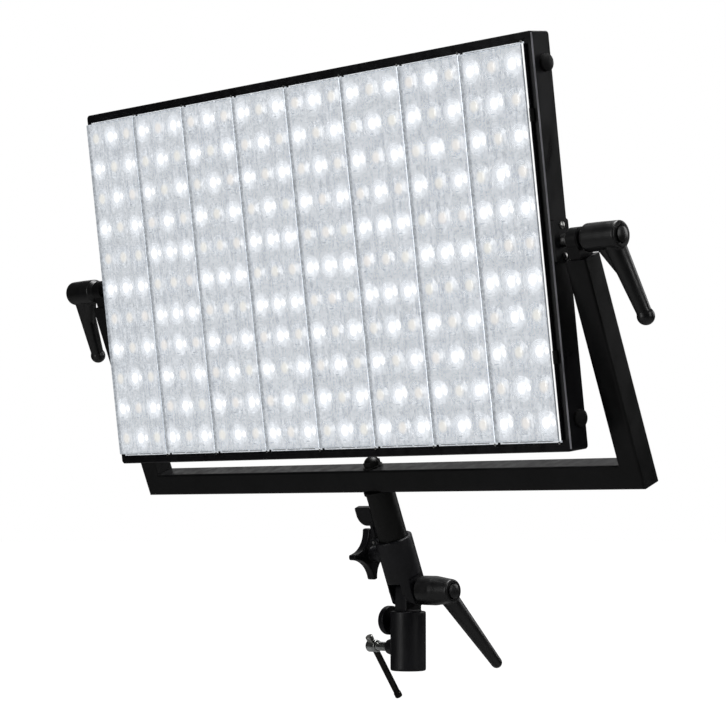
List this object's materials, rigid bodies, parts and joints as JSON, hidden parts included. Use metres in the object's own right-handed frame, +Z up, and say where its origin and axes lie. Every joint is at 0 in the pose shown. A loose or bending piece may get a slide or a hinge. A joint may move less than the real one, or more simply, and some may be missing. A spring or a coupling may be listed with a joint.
{
  "type": "led panel light",
  "caption": "Rectangular LED panel with strip lenses in a tilting U-shaped yoke, on a tilting and swivelling stand bracket with clamping levers.",
  "frame": {"origin": "centre of the stand receiver's mouth, where the stand's stud enters", "axes": "+Z up out of the stand, -Y the way the light shines, +X along the panel's width"},
  "size_m": [0.852, 0.2646, 0.6689],
  "materials": {
    "frame_paint": "black powder coat, fine texture",
    "lens_clear": "clear moulded optics",
    "back_paint": "black powder coat",
    "board_white": "white solder mask",
    "led_cool": "lit cool white",
    "led_warm": "unlit warm phosphor",
    "clip_black": "matt",
    "screw_steel": "zinc plated",
    "bumper_rubber": "matt",
    "pivot_plate_paint": "satin black",
    "bush_steel": "turned",
    "sink_black": "black anodised",
    "cover_paint": "black powder coat",
    "circuit_green": "solder mask",
    "component_dark": "moulded",
    "knob_black": "fine texture",
    "yoke_paint": "black powder coat",
    "spigot_paint": "satin black",
    "lever_black": "satin black, fine texture",
    "casting_black": "satin black casting",
    "grip_black": "moulded",
    "screw_bronze": "dark bronze plating",
    "bar_black": "black with bright ends"
  },
  "bodies": {
    "stand_receiver": {"receiver": "casting_black", "tilt_bolt": "screw_steel"},
    "clamp_screw": {"t_screw": "screw_bronze"},
    "clamp_bar": {"t_bar": "bar_black"},
    "lock_plunger": {"lock_pin": "grip_black"},
    "tilt_clamp": {"tilt_lever": "lever_black"},
    "tilt_release": {"tilt_button": "lever_black"},
    "tilt_head": {"upper_socket": "casting_black", "catch_pin": "screw_steel"},
    "swivel_knob": {"star_knob": "grip_black", "star_screw": "screw_steel"},
    "safety_catch": {"catch_paddle": "grip_black"},
    "yoke": {"yoke_bar": "yoke_paint", "yoke_arm_left": "yoke_paint", "yoke_arm_right": "yoke_paint", "yoke_lug_left": "yoke_paint", "yoke_lug_right": "yoke_paint", "pivot_washers": "pivot_plate_paint", "spigot": "spigot_paint", "spigot_bolt": "screw_steel", "dome_nut": "spigot_paint"},
    "pivot_clamp_left": {"pivot_lever_left": "lever_black"},
    "pivot_clamp_right": {"pivot_lever_right": "lever_black"},
    "pivot_release_left": {"pivot_button_left": "lever_black"},
    "pivot_release_right": {"pivot_button_right": "lever_black"},
    "dimmer": {"dimmer_knob": "knob_black"},
    "colour_control": {"colour_knob": "knob_black"},
    "mains_switch": {"power_switch": "knob_black"},
    "panel": {"frame_top": "frame_paint", "frame_bottom": "frame_paint", "frame_left": "frame_paint", "frame_right": "frame_paint", "lens_plate_1": "lens_clear", "lens_plate_2": "lens_clear", "lens_plate_3": "lens_clear", "lens_plate_4": "lens_clear", "lens_plate_5": "lens_clear", "lens_plate_6": "lens_clear", "lens_plate_7": "lens_clear", "lens_plate_8": "lens_clear", "back_plate": "back_paint", "led_boards": "board_white", "cool_led_chips": "led_cool", "warm_led_chips": "led_warm", "lens_clips": "clip_black", "lens_screws": "screw_steel", "pivot_plate_screws": "screw_steel", "heat_sink_screws": "screw_steel", "driver_box_screws": "screw_steel", "pivot_studs": "screw_steel", "side_bumpers": "bumper_rubber", "pivot_plates": "pivot_plate_paint", "pivot_spacers": "bush_steel", "board_standoffs": "bush_steel", "heat_sink_left": "sink_black", "heat_sink_right": "sink_black", "driver_box": "cover_paint", "driver_board": "circuit_green", "driver_parts": "component_dark", "power_inlet": "knob_black"}
  },
  "joints": [
    {"name": "yoke_tilt", "type": "hinge", "parent": "stand_receiver", "child": "tilt_head", "pos_m": [0, 0, 0.088], "axis": [1, 0, 0], "range_deg": [-110, 66]},
    {"name": "tilt_clamp_turn", "type": "hinge", "parent": "stand_receiver", "child": "tilt_clamp", "pos_m": [0, 0, 0.088], "axis": [1, 0, 0], "continuous": true},
    {"name": "tilt_release_press", "type": "slide", "parent": "tilt_clamp", "child": "tilt_release", "axis": [-1, 0, 0], "range_m": [0, 0.0025], "stiffness_N_per_m": 900},
    {"name": "clamp_screw_turn", "type": "hinge", "parent": "stand_receiver", "child": "clamp_screw", "pos_m": [0, 0, 0.025], "axis": [1, 0, 0], "continuous": true},
    {"name": "clamp_bar_slide", "type": "slide", "parent": "clamp_screw", "child": "clamp_bar", "axis": [0, -0.5736, 0.8192], "range_m": [0, 0.054]},
    {"name": "lock_plunger_pull", "type": "slide", "parent": "stand_receiver", "child": "lock_plunger", "axis": [-1, 0, 0], "range_m": [0, 0.005], "stiffness_N_per_m": 900},
    {"name": "yoke_swivel", "type": "hinge", "parent": "tilt_head", "child": "yoke", "pos_m": [0, 0, 0.088], "axis": [0, -0.3778, 0.9259], "continuous": true},
    {"name": "swivel_knob_turn", "type": "hinge", "parent": "tilt_head", "child": "swivel_knob", "pos_m": [0, -0.01587, 0.12689], "axis": [1, 0, 0], "continuous": true},
    {"name": "safety_catch_swing", "type": "hinge", "parent": "tilt_head", "child": "safety_catch", "pos_m": [-0.025, -0.0221, 0.14216], "axis": [0, -0.9259, -0.3778], "range_deg": [0, 12], "stiffness_Nm_per_rad": 0.15},
    {"name": "panel_tilt", "type": "hinge", "parent": "yoke", "child": "panel", "pos_m": [0, -0.14041, 0.43205], "axis": [1, 0, 0], "continuous": true},
    {"name": "pivot_clamp_left_turn", "type": "hinge", "parent": "yoke", "child": "pivot_clamp_left", "pos_m": [0, -0.14041, 0.43205], "axis": [1, 0, 0], "continuous": true},
    {"name": "pivot_clamp_right_turn", "type": "hinge", "parent": "yoke", "child": "pivot_clamp_right", "pos_m": [0, -0.14041, 0.43205], "axis": [1, 0, 0], "continuous": true},
    {"name": "pivot_release_left_press", "type": "slide", "parent": "pivot_clamp_left", "child": "pivot_release_left", "axis": [1, 0, 0], "range_m": [0, 0.0025], "stiffness_N_per_m": 900},
    {"name": "pivot_release_right_press", "type": "slide", "parent": "pivot_clamp_right", "child": "pivot_release_right", "axis": [-1, 0, 0], "range_m": [0, 0.0025], "stiffness_N_per_m": 900},
    {"name": "dimmer_turn", "type": "hinge", "parent": "panel", "child": "dimmer", "pos_m": [-0.036, -0.11402, 0.5317], "axis": [0, 0.9903, 0.1392], "range_deg": [-150, 150]},
    {"name": "colour_turn", "type": "hinge", "parent": "panel", "child": "colour_control", "pos_m": [0.036, -0.11402, 0.5317], "axis": [0, 0.9903, 0.1392], "range_deg": [-150, 150]},
    {"name": "mains_switch_rock", "type": "hinge", "parent": "panel", "child": "mains_switch", "pos_m": [0, -0.09651, 0.39278], "axis": [1, 0, 0], "range_deg": [-14, 0]}
  ]
}
